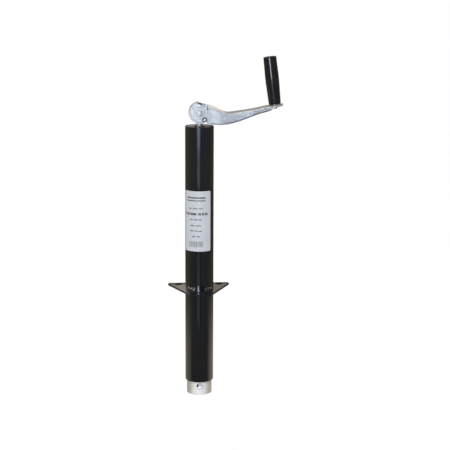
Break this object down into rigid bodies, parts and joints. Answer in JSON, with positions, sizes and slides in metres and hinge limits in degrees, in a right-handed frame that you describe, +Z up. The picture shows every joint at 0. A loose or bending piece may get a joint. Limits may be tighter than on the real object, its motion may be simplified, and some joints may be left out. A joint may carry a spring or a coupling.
{
  "type": "trailer tongue jack",
  "caption": "Top-wind A-frame trailer tongue jack: black outer tube with a bolt-on triangular plate, sliding plated inner tube, folding channel crank with a spinning grip.",
  "frame": {"origin": "on the tube axis, at the underside of the mounting plate, at the centre of the circle through its three bolt holes", "axes": "+Z up along the tube towards the crank; -Y towards the narrow edge of the plate; the crank arm reaches along +X at rest"},
  "size_m": [0.2281, 0.0971, 0.6889],
  "materials": {
    "black_paint": "gloss black enamel",
    "zinc_plate": "bright zinc plate",
    "bare_steel": "machined, oiled",
    "hardened_steel": "ground",
    "spring_steel": "plated spring steel",
    "cage_brass": "stamped",
    "black_grip": "gloss moulded",
    "label_film": "satin printed film"
  },
  "bodies": {
    "frame": {"outer_tube": "black_paint", "mount_plate": "black_paint", "plate_welds": "black_paint", "top_cap": "black_paint", "upper_race": "hardened_steel", "screw_guide": "bare_steel", "guide_key": "black_paint", "tube_label": "label_film"},
    "screw": {"lead_screw": "bare_steel", "thrust_collar": "bare_steel", "drive_pin": "bare_steel", "lower_race": "hardened_steel", "crank_eye": "zinc_plate", "stop_washer": "bare_steel", "stop_washer_pin": "bare_steel"},
    "bearing": {"bearing_cage": "cage_brass", "bearing_balls": "hardened_steel"},
    "ram": {"ram_tube": "zinc_plate", "ram_nut": "bare_steel", "nut_pins": "bare_steel"},
    "crank": {"crank_arm": "zinc_plate", "pivot_rivet": "zinc_plate", "pivot_washers": "zinc_plate", "stop_pin": "spring_steel", "grip_spindle": "zinc_plate", "spindle_washer": "zinc_plate"},
    "grip": {"crank_grip": "black_grip"}
  },
  "joints": [
    {"name": "ram_slide", "type": "slide", "parent": "frame", "child": "ram", "axis": [0, 0, -1], "range_m": [0, 0.381]},
    {"name": "screw_turn", "type": "hinge", "parent": "frame", "child": "screw", "pos_m": [0, 0, 0.333], "axis": [0, 0, -1], "continuous": true},
    {"name": "bearing_turn", "type": "hinge", "parent": "frame", "child": "bearing", "pos_m": [0, 0, 0.32275], "axis": [0, 0, -1], "continuous": true},
    {"name": "crank_fold", "type": "hinge", "parent": "screw", "child": "crank", "pos_m": [0, 0, 0.359], "axis": [0, -1, 0], "range_deg": [0, 180]},
    {"name": "grip_spin", "type": "hinge", "parent": "crank", "child": "grip", "pos_m": [0.1495, 0, 0.3746], "axis": [-0.1201, 0, 0.9928], "continuous": true}
  ],
  "couplings": [
    {"joint": "screw_turn", "follows": "ram_slide", "rad_per_m": 1236.8},
    {"joint": "bearing_turn", "follows": "ram_slide", "rad_per_m": 618.42}
  ]
}
